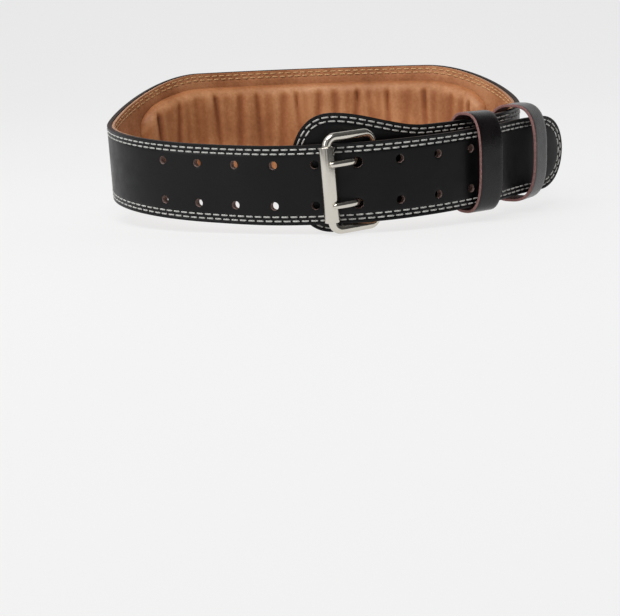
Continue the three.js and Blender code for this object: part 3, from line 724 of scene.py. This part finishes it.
columns, rows = 212, 41
crowd_along, crowd_across = 1.28, 1.5
along = np.sin(np.linspace(-1, 1, columns) * crowd_along) / math.sin(crowd_along) * pad_half_length
across = np.sin(np.linspace(-1, 1, rows) * crowd_across) / math.sin(crowd_across)
half = pad_half(along)[:, None]
pad_u = np.repeat(along[:, None], rows, 1)
pad_v = across[None] * half
pad_back = -(lining_face + gap)
pad_skin = 0.6
flat_place = np.stack([pad_u + back_centre, pad_v, np.full(pad_u.shape, pad_back)], -1) / 1000
cushion = grid_piece("lumbar_pad_dressed", columns, rows, flat_place)
in_edit_mode(cushion)
bpy.ops.mesh.extrude_region_move(TRANSFORM_OT_translate={"value": (0, 0, -pad_skin * mm)})
bpy.ops.object.mode_set(mode="OBJECT")
tidy_normals(cushion, fine_weld)
flat = get_points(cushion) * 1000
raised = flat[:, 2] < pad_back - pad_skin / 2
swollen, painted_shade_and_highlight = pad_swell(flat[:, 0] - back_centre, flat[:, 1], pad_half(flat[:, 0] - back_centre))
flat[raised, 2] -= pad["thickness"] * swollen[raised]
set_points(cushion, flat / 1000)
# The mesh keeps the painted shade and highlights for the pad's material.
cushion.data.attributes.new("painted_fold_shade", "FLOAT", "POINT").data.foreach_set("value", np.clip(painted_shade_and_highlight, 0, 1))
keep_flat_map(cushion)
set_points(cushion, worn(get_points(cushion)))
smooth_shaded(cushion, 60)
finish_piece(cushion, ["lumbar_pad"], pad_leather)

# %% [markdown]
# Saddle stitching holds the leathers together in two rows round every edge. One stitch is a short piece of
# thread that dips into the leather at both ends. It is modelled once and copied along each row by code,
# because fourteen hundred stitches can't be placed by hand; each side's stitches are one mesh.

# %% Stitches
stitch_pitch, stitch_length, thread_radius, thread_flatness = 6.2, 5.2, 0.44, 1.25
outer_sink, lining_sink = 0.3, 0.25
ring_sides = 6
ring_rows = [
    # along: share of the stitch's half length; size: share of the thread; up: mm
    (-1.0, 0.45, -0.5), (-0.82, 0.9, 0.0), (-0.4, 1.0, 0.22),
    (0.4, 1.0, 0.22), (0.82, 0.9, 0.0), (1.0, 0.45, -0.5),
]


def one_stitch():
    points, faces = [], []
    for share, size, up in ring_rows:
        for k in range(ring_sides):
            angle = 2 * math.pi * k / ring_sides
            across = thread_flatness * thread_radius * size * math.cos(angle)
            points.append((share * stitch_length / 2, across, up + thread_radius * size * math.sin(angle)))
    for r in range(len(ring_rows) - 1):
        for k in range(ring_sides):
            a, b = r * ring_sides + k, r * ring_sides + (k + 1) % ring_sides
            faces.append((a, b, b + ring_sides, a + ring_sides))
    faces.append(tuple(range(ring_sides))[::-1])
    faces.append(tuple(range((len(ring_rows) - 1) * ring_sides, len(ring_rows) * ring_sides)))
    return np.array(points), faces


def sewn(name, lines, face, outward, material):
    """Stitches along closed flat lines, on the leather's face at that height, towards outward (1 or -1)."""
    shape, faces = one_stitch()
    all_points, all_faces = [], []
    for line in lines:
        closed = np.concatenate([line, line[:1]])
        travelled = np.concatenate([[0], np.cumsum(np.hypot(*np.diff(closed, axis=0).T))])
        count = int(travelled[-1] / stitch_pitch)
        middles = (np.arange(count) + 0.5) * travelled[-1] / count
        at = np.stack([np.interp(middles, travelled, closed[:, k]) for k in (0, 1)], 1)
        further = (middles + 1) % travelled[-1]
        front = np.stack([np.interp(further, travelled, closed[:, k]) for k in (0, 1)], 1)
        way = (front - at) / np.linalg.norm(front - at, axis=1, keepdims=True)
        for centre, direction in zip(at, way):
            side = np.array([-direction[1], direction[0]])
            flat = np.empty_like(shape)
            flat[:, :2] = centre + shape[:, :1] * direction + shape[:, 1:2] * side
            flat[:, 2] = face + outward * shape[:, 2]
            start = len(all_points) * len(shape)
            all_points.append(flat)
            all_faces += [tuple(start + i for i in f) for f in faces]
    mesh = bpy.data.meshes.new(name)
    mesh.from_pydata(worn(np.concatenate(all_points) / 1000), [], all_faces)
    obj = bpy.data.objects.new(name, mesh)
    bpy.context.scene.collection.objects.link(obj)
    tidy_normals(obj, fine_weld)
    smooth_shaded(obj, 80)
    finish_piece(obj, [], material)
    print(name, "has", len(all_points), "stitches")


rows_in = [outline(inset) for inset in stitch_rows]
sewn("outer_stitches", rows_in, outer_face - outer_sink, 1, white_thread)
sewn("lining_stitches", rows_in, -lining_face + lining_sink, -1, gold_thread)

# %% [markdown]
# A keeper is a strip of leather sewn into a ring. The ring is drawn as a circle of points pressed to the
# shape of the pack of straps it holds, extruded to the strip's width and given a wall by Solidify. Its
# outside, cut edges and flesh side get three finishes.

# %% Keepers
def squared(points_in, half_depth, half_high, power):
    angle = np.arctan2(points_in[:, 1], points_in[:, 0])
    c, s = np.cos(angle), np.sin(angle)
    x = half_depth * np.sign(c) * np.abs(c) ** (2 / power)
    y = half_high * np.sign(s) * np.abs(s) ** (2 / power)
    return x, y


def make_keeper(name, at, half_depth, seat, tongue_share):
    strap, strap_normal, strap_way = on_ellipse(at)
    over, over_normal, _ = on_ellipse(lap + at, standoff(lap + at))
    next_over = on_ellipse(lap + at + 1, standoff(lap + at + 1))[0]
    tongue_way = (next_over - over) / np.linalg.norm(next_over - over)
    way = strap_way + tongue_share * (tongue_way - strap_way)
    way /= np.linalg.norm(way)
    outward = np.array([way[1], -way[0]])
    innermost = strap - strap_normal * lining_face
    outermost = over + over_normal * outer_face
    packed = np.linalg.norm(outermost - innermost) / 2 + keeper["play"]
    centre = (innermost + outermost) / 2
    tops = [middle_height(length_at(r)) + half_height(length_at(r)) for r in (at, lap + at)]
    power = keeper["roundness"]
    corner = (1 - (packed / half_depth) ** power) ** (1 / power)
    centre_height = float(max(tops)) + seat - corner * keeper["inner_height"] / 2
    clear_selection()
    bpy.ops.mesh.primitive_circle_add(vertices=120, radius=1, fill_type="NOTHING")
    obj = named(name)
    points = get_points(obj)
    x, y = squared(points, half_depth, keeper["inner_height"] / 2, power)
    points = np.stack([x, y, np.full(len(x), -keeper["width"] / 2)], 1) / 1000
    set_points(obj, points)
    in_edit_mode(obj)
    steps = 6
    for _ in range(steps):
        rise = keeper["width"] / steps / 1000
        bpy.ops.mesh.extrude_region_move(TRANSFORM_OT_translate={"value": (0, 0, rise)})
    bpy.ops.object.mode_set(mode="OBJECT")
    tidy_normals(obj)
    for material in (keeper_leather, keeper_flesh, keeper_edge):
        obj.data.materials.append(material)
    modify(
        obj, "SOLIDIFY", thickness=keeper["leather"] / 1000, offset=1, material_offset=1,
        material_offset_rim=2, use_even_offset=True,
    )
    bevel(obj, 0.0005, 3)
    turn_to = Matrix((
        (outward[0], 0, -way[0], (centre[0] - origin_x) / 1000),
        (outward[1], 0, -way[1], (centre[1] - origin_y) / 1000),
        (0, 1, 0, centre_height / 1000),
        (0, 0, 0, 1),
    ))
    obj.data.transform(turn_to)
    smooth_shaded(obj, 45)
    finish_piece(obj, [name.replace("_dressed", "")])


for keeper_name, sizes in keepers.items():
    make_keeper(keeper_name + "_dressed", **sizes)

# %% [markdown]
# The buckle stands at a slant over the straps: its heel bar is low, in the leather tab, and its roller is
# high, outside the tongue. Its pieces are modelled in the buckle's own frame, with x from the roller to the
# heel bar and z up, and one matrix puts them in place.

# %% The buckle's own frame
heel_point = on_ellipse(heel_at, heel_standoff)[0]
roller_run = lap + roller_at
roller_out = standoff(roller_run) + outer_face + roller["clearance"] + roller["radius"]
roller_point = on_ellipse(roller_at, roller_out)[0]
reach = float(np.linalg.norm(roller_point - heel_point))
buckle_middle = float(middle_height(length_at(lap + (heel_at + roller_at) / 2)))
buckle_turn = math.atan2(heel_point[1] - roller_point[1], heel_point[0] - roller_point[0])
buckle_place = Matrix.Translation((
    (roller_point[0] - origin_x) / 1000, (roller_point[1] - origin_y) / 1000, buckle_middle / 1000,
)) @ (Matrix.Rotation(buckle_turn, 4, "Z") @ Matrix.Rotation(-math.radians(tilt_deg), 4, "Y"))
print("heel bar to roller:", round(reach, 1), "mm")

# %% [markdown]
# The frame is one wire, bent round four corners. A circle of points is extruded along each side and spun
# round each corner, as the wire is bent in the works, and its ends are merged where they meet.

# %% Buckle frame
half_wire_height = inner_height / 2 + wire


def wire_frame():
    r, tall = wire_corner, half_wire_height
    clear_selection()
    start = (0, 0, -(tall - r) * mm)
    bpy.ops.mesh.primitive_circle_add(vertices=28, radius=wire * mm, fill_type="NOTHING", location=start)
    obj = named("buckle_frame_dressed")
    only(obj)
    bpy.ops.object.transform_apply(location=True)
    in_edit_mode(obj)
    legs = [
        ((0, 0, 2 * (tall - r)), (r, 0, tall - r)),
        ((reach - 2 * r, 0, 0), (reach - r, 0, tall - r)),
        ((0, 0, -2 * (tall - r)), (reach - r, 0, r - tall)),
        ((-(reach - 2 * r), 0, 0), (r, 0, r - tall)),
    ]
    for leg, corner in legs:
        move = tuple(k * mm for k in leg)
        bpy.ops.mesh.extrude_region_move(TRANSFORM_OT_translate={"value": move})
        centre = tuple(k * mm for k in corner)
        bpy.ops.mesh.spin(steps=10, angle=-math.pi / 2, center=centre, axis=(0, 1, 0))
    bpy.ops.object.mode_set(mode="OBJECT")
    tidy_normals(obj)
    return obj


def thin_heel_bar(obj):
    """The heel bar is turned thinner than the rest of the wire."""
    points = get_points(obj) / mm
    r, tall = wire_corner, half_wire_height
    corner_z = np.clip(points[:, 2], r - tall, tall - r)
    corner_x = np.clip(points[:, 0], r, reach - r)
    way = np.stack([points[:, 0] - corner_x, points[:, 2] - corner_z], 1)
    size = np.maximum(np.linalg.norm(way, axis=1, keepdims=True), 1e-6)
    way = way / size
    centre = np.stack([corner_x + r * way[:, 0], np.zeros(len(points)), corner_z + r * way[:, 1]], 1)
    share = smooth((centre[:, 0] - (reach - r)) / r)[:, None]
    scale = 1 + (heel_wire / wire - 1) * share
    set_points(obj, (centre + (points - centre) * scale) * mm)


buckle_frame = wire_frame()
thin_heel_bar(buckle_frame)
buckle_frame.data.transform(buckle_place)
smooth_shaded(buckle_frame, 60)
finish_piece(buckle_frame, ["buckle_frame"], nickel)

# %% [markdown]
# The roller is a tube that turns on the front bar, so that leather slides under it. An open cylinder gets
# its wall from Solidify and softened ends from a bevel.

# %% Roller
clear_selection()
bpy.ops.mesh.primitive_cylinder_add(
    vertices=56, radius=roller["radius"] * mm, depth=roller["length"] * mm, end_fill_type="NOTHING",
)
roller_tube = named("buckle_roller_dressed")
modify(roller_tube, "SOLIDIFY", thickness=roller["wall"] * mm, offset=-1)
bevel(roller_tube, 0.0005, 3)
roller_tube.data.transform(buckle_place)
smooth_shaded(roller_tube, 45)
finish_piece(roller_tube, ["buckle_roller"], nickel)

# %% [markdown]
# Each prong is one length of thick wire, curled round the heel bar at one end, bent up through its hole in
# the tongue and laid on the roller. A smooth NURBS curve draws it, because a bent wire is just what a curve
# draws. Its round section thins in the curl and tapers to the tip. Once it is a mesh it is made wider than
# it is thick, as beaten wire is.

# %% Prongs
def to_buckle_plan(point):
    """A plan point in the buckle's frame, from the heel bar: first towards the roller, then outwards."""
    toward = (roller_point - heel_point) / np.linalg.norm(roller_point - heel_point)
    outward = np.array([-toward[1], toward[0]])
    away = point - heel_point
    return np.array([away @ toward, away @ outward])


hole_run = run_at(fastened_hole)
hole_centre = on_ellipse(hole_run, standoff(hole_run))[0]
hole_ahead = on_ellipse(hole_run + look, standoff(hole_run + look))[0]
hole_way = (hole_ahead - hole_centre) / np.linalg.norm(hole_ahead - hole_centre)
hole_normal = np.array([hole_way[1], -hole_way[0]])
hole_in = to_buckle_plan(hole_centre - hole_normal * lining_face)
hole_out = to_buckle_plan(hole_centre + hole_normal * outer_face)
rest_out = roller["radius"] + gap + prong_thickness / 2
eye_wire, curl_thickens = 0.8, 0.25
curl_steps, curl_turn, curl_ends_at = 14, 300, -20
eye_radius = heel_wire + gap + eye_wire


def prong_points():
    """(towards the roller, outwards, radius) along the prong, in millimetres from the heel bar."""
    rows = []
    for k in range(curl_steps + 1):
        share = k / curl_steps
        angle = math.radians(curl_ends_at - curl_turn * (1 - share))
        radius = eye_wire + curl_thickens * share**2
        rows.append((eye_radius * math.cos(angle), eye_radius * math.sin(angle), radius))
    arm = [
        # towards the roller: mm; outwards: mm; radius: mm
        (eye_radius + 2.0, -1.2, 1.15),
        (hole_in[0] - 1.9, hole_in[1] - 0.7, 1.35),
        ((hole_in[0] + hole_out[0]) / 2, (hole_in[1] + hole_out[1]) / 2, 1.4),
        (hole_out[0] + 1.9, hole_out[1] + 0.6, 1.5),
        (hole_out[0] + 5.5, (hole_out[1] + rest_out) / 2 + 0.7, 1.5),
        (reach - 2.5, rest_out + 0.15, 1.4),
        (reach + 0.8, rest_out + 0.15, 1.15),
        (reach + 1.7, rest_out - 0.1, 0.5),
    ]
    return rows + arm


def make_prong(name, height):
    clear_selection()
    curve = bpy.data.curves.new(name, "CURVE")
    curve.dimensions = "3D"
    curve.bevel_depth = 0.001
    curve.bevel_resolution = 5
    curve.use_fill_caps = True
    rows = prong_points()
    spline = curve.splines.new("NURBS")
    spline.points.add(len(rows) - 1)
    for point, (toward, out, radius) in zip(spline.points, rows):
        point.co = ((reach - toward) * mm, -out * mm, height * mm, 1)
        point.radius = radius
    spline.use_endpoint_u = True
    spline.order_u = 3
    spline.resolution_u = 5
    obj = bpy.data.objects.new(name, curve)
    bpy.context.scene.collection.objects.link(obj)
    only(obj)
    bpy.ops.object.convert(target="MESH")
    obj = named(name)
    points = get_points(obj)
    points[:, 2] = height * mm + (points[:, 2] - height * mm) * prong_width / prong_thickness
    set_points(obj, points)
    tidy_normals(obj)
    obj.data.transform(buckle_place)
    smooth_shaded(obj, 60)
    finish_piece(obj, [name.replace("_dressed", "")], nickel)


for prong_name, side in (("prong_lower_dressed", -1), ("prong_upper_dressed", 1)):
    make_prong(prong_name, side * hole_rows_apart / 2)

# %% [markdown]
# A tab of thinner leather holds the heel bar: folded round it, slotted for the prongs and riveted to the
# belt. The strip is a grid laid along the fold's section, given its thickness by Solidify and slotted with
# a boolean cut.

# %% Buckle tab
def tab_edge(rise):
    low_leaf = outer_face + gap + tab["leather"] / 2
    high_leaf = low_leaf + tab["leather"] + gap
    fold_middle = fold_radius - tab["leather"] / 2
    shift = -rise * math.tan(math.radians(tilt_deg))
    bar = heel_point + shift * np.array([math.cos(buckle_turn), math.sin(buckle_turn)])
    under, normal, tangent = on_ellipse(heel_at + shift)
    bar_out = (bar - under) @ normal
    path = []

    def leaf(share, from_out, to_out):
        settle = float(smooth(tab["length"] * share / tab["closes_over"]))
        out = from_out * (1 - settle) + to_out * settle
        return on_ellipse(heel_at + shift + tab["length"] * share, out)[0]

    leaf_steps, fold_steps = 24, 16
    for i in range(leaf_steps, -1, -1):
        path.append(leaf(i / leaf_steps, bar_out - fold_middle, low_leaf))
    for i in range(1, fold_steps):
        angle = math.pi * i / fold_steps
        path.append(bar - normal * fold_middle * math.cos(angle) - tangent * fold_middle * math.sin(angle))
    for i in range(leaf_steps + 1):
        path.append(leaf(i / leaf_steps, bar_out + fold_middle, high_leaf))
    return [(x - origin_x, y - origin_y, buckle_middle + rise) for x, y in path]


tab_rows = 9
tab_place = np.array([tab_edge(rise) for rise in np.linspace(-0.5, 0.5, tab_rows) * tab["height"]])
tab_place = tab_place.transpose(1, 0, 2) * mm
tab_piece = grid_piece("buckle_tab_dressed", tab_place.shape[0], tab_rows, tab_place)
tab_piece.data.materials.append(keeper_leather)
tab_piece.data.materials.append(keeper_edge)
modify(tab_piece, "SOLIDIFY", thickness=tab["leather"] * mm, offset=0, material_offset_rim=1)
for side in (-1, 1):
    clear_selection()
    bpy.ops.mesh.primitive_cube_add(size=1)
    cutter = named("slot_cutter")
    long, deep, wide = fold_radius + tab["slot_back"], 6 * fold_radius, tab["slot"]
    box_place = Matrix.Translation((
        (reach + (tab["slot_back"] - fold_radius) / 2 - 2 * gap) * mm, 0, side * hole_rows_apart / 2 * mm,
    )) @ Matrix.Diagonal((long * mm, deep * mm, wide * mm, 1))
    cutter.data.transform(buckle_place @ box_place)
    modify(tab_piece, "BOOLEAN", operation="DIFFERENCE", object=cutter, solver="EXACT")
    bpy.data.objects.remove(cutter)
bevel(tab_piece, 0.0003, 2)
smooth_shaded(tab_piece, 45)
finish_piece(tab_piece, ["buckle_tab"])

# %% [markdown]
# Two rivets close the tab. A rivet shows a low domed cap on each side: a disc with a deep bevel. The
# shank between them is hidden but is there.

# %% Rivets
def make_rivet(name, side):
    rivet_length = float(length_at(heel_at + rivet["from_bar"]))
    run = run_at(rivet_length)
    point, normal, _ = on_ellipse(run)
    inside = -lining_face - gap
    outside = outer_face + 3 * gap + 2 * tab["leather"]
    parts = []
    for low, high, radius in (
        (inside - rivet["head_height"], inside, rivet["head"]),
        (inside - rivet["shank_in_head"], outside + rivet["shank_in_head"], rivet["shank"]),
        (outside, outside + rivet["head_height"], rivet["head"]),
    ):
        clear_selection()
        bpy.ops.mesh.primitive_cylinder_add(
            vertices=32, radius=radius * mm, depth=(high - low) * mm, location=(0, 0, (low + high) / 2 * mm),
        )
        part = bpy.context.object
        if radius == rivet["head"]:
            bevel(part, 0.0008, 4)
        parts.append(part)
    clear_selection()
    for part in parts:
        part.select_set(True)
    bpy.context.view_layer.objects.active = parts[0]
    bpy.ops.object.join()
    obj = named(name)
    only(obj)
    bpy.ops.object.transform_apply(location=True, rotation=True, scale=True)
    axis = Vector((normal[0], normal[1], 0)).normalized()
    turn_to = Vector((0, 0, 1)).rotation_difference(axis).to_matrix().to_4x4()
    where = (
        (point[0] - origin_x) * mm, (point[1] - origin_y) * mm,
        (buckle_middle + side * rivet["apart"] / 2) * mm,
    )
    obj.data.transform(Matrix.Translation(where) @ turn_to)
    smooth_shaded(obj, 45)
    finish_piece(obj, [name.replace("_dressed", "")], nickel)


make_rivet("rivet_lower_dressed", -1)
make_rivet("rivet_upper_dressed", 1)

# %% [markdown]
# The photograph's studio is plain and pale. The sweep is a plane whose far edge is pulled up, with the
# corner rounded by a bevel. Its paper gives off some light of its own, so that it comes out as pale as the
# photograph's, with only a faint shadow under the belt. Its sizes are in metres.

# %% Floor and backdrop
clear_selection()
bpy.ops.mesh.primitive_plane_add(size=1)
sweep = named("sweep")
half_wide, half_deep, tall = 6, 3, 5
set_points(sweep, [(x, y, 0) for y in (-half_deep, half_deep) for x in (-half_wide, half_wide)])
in_edit_mode(sweep)
bpy.ops.mesh.select_all(action="DESELECT")
bpy.ops.object.mode_set(mode="OBJECT")
for edge in sweep.data.edges:
    edge.select = all(sweep.data.vertices[i].co.y > half_deep - 0.1 for i in edge.vertices)
bpy.ops.object.mode_set(mode="EDIT")
bpy.ops.mesh.select_mode(type="EDGE")
bpy.ops.mesh.extrude_region_move(TRANSFORM_OT_translate={"value": (0, 0, tall)})
bpy.ops.object.mode_set(mode="OBJECT")
bevel(sweep, 2.0, 16)
smooth_shaded(sweep, 60)
paper, tree, shader, place = new_material("pale_paper_sweep", IOR=1.45, Roughness=0.9, Emission_Strength=0.74)
fibre = add(tree, "ShaderNodeTexNoise", Vector=place, Scale=1000 / 300).outputs[0]
colour = add(tree, "ShaderNodeValToRGB", stops=[(0.3, "#5c5c5c"), (0.7, "#5e5e5e")], Fac=fibre).outputs[0]
feed(tree, shader, Base_Color=colour, Emission_Color=(1, 1, 1, 1))
sweep.data.materials.append(paper)

# %% [markdown]
# Two soft lights do the work, a large one above and a tall one at the left. The metal needs something to
# mirror as well, so the room round the belt is a ramp of light and dark walls, listed as shares of the way
# from left to right: the first, the last, and then those between.

# %% Lights
def soft_light(name, size_x, size_y, power, where, aim=(0, 0, 0.04)):
    light = bpy.data.lights.new(name, "AREA")
    light.shape = "RECTANGLE"
    light.size, light.size_y, light.energy = size_x, size_y, power
    obj = bpy.data.objects.new(name, light)
    obj.location = where
    obj.rotation_euler = (Vector(aim) - Vector(where)).to_track_quat("-Z", "Y").to_euler()
    bpy.context.scene.collection.objects.link(obj)


soft_light("top_light", 1.1, 0.7, 15, (-0.25, -0.55, 1.25))
soft_light("side_light", 0.5, 0.9, 5, (-1.3, -0.7, 0.7))
world = bpy.data.worlds.new("studio")
bpy.context.scene.world = world
world.use_nodes = True
sky = world.node_tree
seen_way = add(sky, "ShaderNodeTexCoord").outputs["Generated"]
across = add(sky, "ShaderNodeSeparateXYZ", Vector=seen_way).outputs[0]
share = add(sky, "ShaderNodeMapRange", Value=across, From_Min=-1.0, From_Max=1.0).outputs[0]
walls = [(0.0, "#b8b8b8"), (1.0, "#5c5c5c"), (0.22, "#f6f6f6"), (0.34, "#5a5a5a"), (0.44, "#ffffff"),
         (0.52, "#d0d0d0"), (0.6, "#3e3e3e"), (0.72, "#8a8a8a"), (0.84, "#6a6a6a")]
room = add(sky, "ShaderNodeValToRGB", stops=walls, Fac=share).outputs[0]
feed(sky, sky.nodes["Background"], Color=room, Strength=0.55)
bpy.context.scene.view_settings.view_transform = "Standard"

# %% [markdown]
# The camera stands a metre from the loop, a little above it, and looks down past the belt, so that the belt
# is in the upper part of the picture. It is rolled two degrees, as the photograph's horizon is.

# %% Camera
image_width = 620
focal_px = 1320.4
distance, elevation, aim_height = 1.0, math.radians(5.38), 0.042
pitch, yaw, roll = math.radians(12.02), math.radians(0.45), math.radians(2.19)
loop_centre = Vector((-origin_x * mm, -origin_y * mm, aim_height))
camera = bpy.data.objects.new("camera", bpy.data.cameras.new("camera"))
bpy.context.scene.collection.objects.link(camera)
camera.data.sensor_width = 36
camera.data.lens = focal_px / image_width * camera.data.sensor_width
camera.location = loop_centre + distance * Vector((0, -math.cos(elevation), math.sin(elevation)))
turn_to = Euler((math.pi / 2 - pitch, 0, yaw)).to_matrix() @ Matrix.Rotation(-roll, 3, "Z")
camera.rotation_euler = turn_to.to_euler()
bpy.context.scene.camera = camera
print("the camera stands", round(camera.location.z, 3), "m above the floor")
